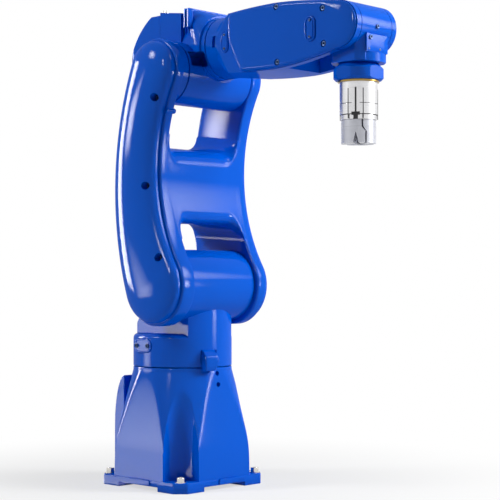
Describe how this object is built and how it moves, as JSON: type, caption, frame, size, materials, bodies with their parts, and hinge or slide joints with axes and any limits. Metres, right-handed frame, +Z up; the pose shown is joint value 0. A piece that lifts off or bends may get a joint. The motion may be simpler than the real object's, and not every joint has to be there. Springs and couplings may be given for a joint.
{
  "type": "industrial robot arm",
  "caption": "Floor-mounted jointed robot arm with swivel head, windowed lower arm, forked forearm and wrist, carrying a centring gripper with sliding jaws.",
  "frame": {"origin": "on the floor, centre of the four floor bolts, on the swivel axis", "axes": "+X forward along the arm, +Y to the arm's left, +Z up"},
  "size_m": [0.526, 0.2297, 0.781],
  "materials": {
    "blue_paint": "gloss paint",
    "bright_metal": "turned and anodised",
    "jaw_steel": "blackened",
    "finger_metal": "satin"
  },
  "bodies": {
    "base": {"base_casting": "blue_paint", "connector_box": "blue_paint"},
    "swivel": {"swivel_head": "blue_paint", "stop_block": "blue_paint", "port_plate": "blue_paint"},
    "lower_arm": {"lower_arm_frame": "blue_paint", "lower_arm_cover_right": "blue_paint", "lower_arm_cover_left": "blue_paint"},
    "elbow": {"elbow_housing": "blue_paint", "motor_cover": "blue_paint"},
    "forearm": {"forearm_casting": "blue_paint", "forearm_cover_right": "blue_paint", "forearm_cover_left": "blue_paint", "wrist_port_right": "blue_paint", "wrist_port_left": "blue_paint", "neck_port": "blue_paint"},
    "wrist": {"wrist_housing": "blue_paint", "wrist_front_plate": "blue_paint", "tool_collar": "blue_paint"},
    "tool": {"tool_flange": "bright_metal", "gripper_body": "bright_metal"},
    "jaw_1": {"base_jaw_1": "jaw_steel", "finger_1": "finger_metal"},
    "jaw_2": {"base_jaw_2": "jaw_steel", "finger_2": "finger_metal"},
    "jaw_3": {"base_jaw_3": "jaw_steel", "finger_3": "finger_metal"}
  },
  "joints": [
    {"name": "swivel_turn", "type": "hinge", "parent": "base", "child": "swivel", "pos_m": [0, 0, 0.196], "axis": [0, 0, 1], "range_deg": [-170, 170]},
    {"name": "shoulder_swing", "type": "hinge", "parent": "swivel", "child": "lower_arm", "pos_m": [0.04, 0, 0.33], "axis": [0, 1, 0], "range_deg": [-65, 145]},
    {"name": "elbow_swing", "type": "hinge", "parent": "lower_arm", "child": "elbow", "pos_m": [0.04, 0, 0.675], "axis": [0, -1, 0], "range_deg": [-50, 190]},
    {"name": "forearm_roll", "type": "hinge", "parent": "elbow", "child": "forearm", "pos_m": [0.104, 0, 0.715], "axis": [1, 0, 0], "range_deg": [-190, 190]},
    {"name": "wrist_bend", "type": "hinge", "parent": "forearm", "child": "wrist", "pos_m": [0.38, 0, 0.715], "axis": [0, -1, 0], "range_deg": [-45, 225]},
    {"name": "tool_turn", "type": "hinge", "parent": "wrist", "child": "tool", "pos_m": [0.38, 0, 0.635], "axis": [0, 0, -1], "range_deg": [-360, 360]},
    {"name": "jaw_1_slide", "type": "slide", "parent": "tool", "child": "jaw_1", "axis": [0.5, -0.866, 0], "range_m": [0, 0.006]},
    {"name": "jaw_2_slide", "type": "slide", "parent": "tool", "child": "jaw_2", "axis": [0.5, 0.866, 0], "range_m": [0, 0.006]},
    {"name": "jaw_3_slide", "type": "slide", "parent": "tool", "child": "jaw_3", "axis": [-1, 0, 0], "range_m": [0, 0.006]}
  ],
  "couplings": [
    {"joint": "jaw_2_slide", "follows": "jaw_1_slide", "ratio": 1},
    {"joint": "jaw_3_slide", "follows": "jaw_1_slide", "ratio": 1}
  ]
}
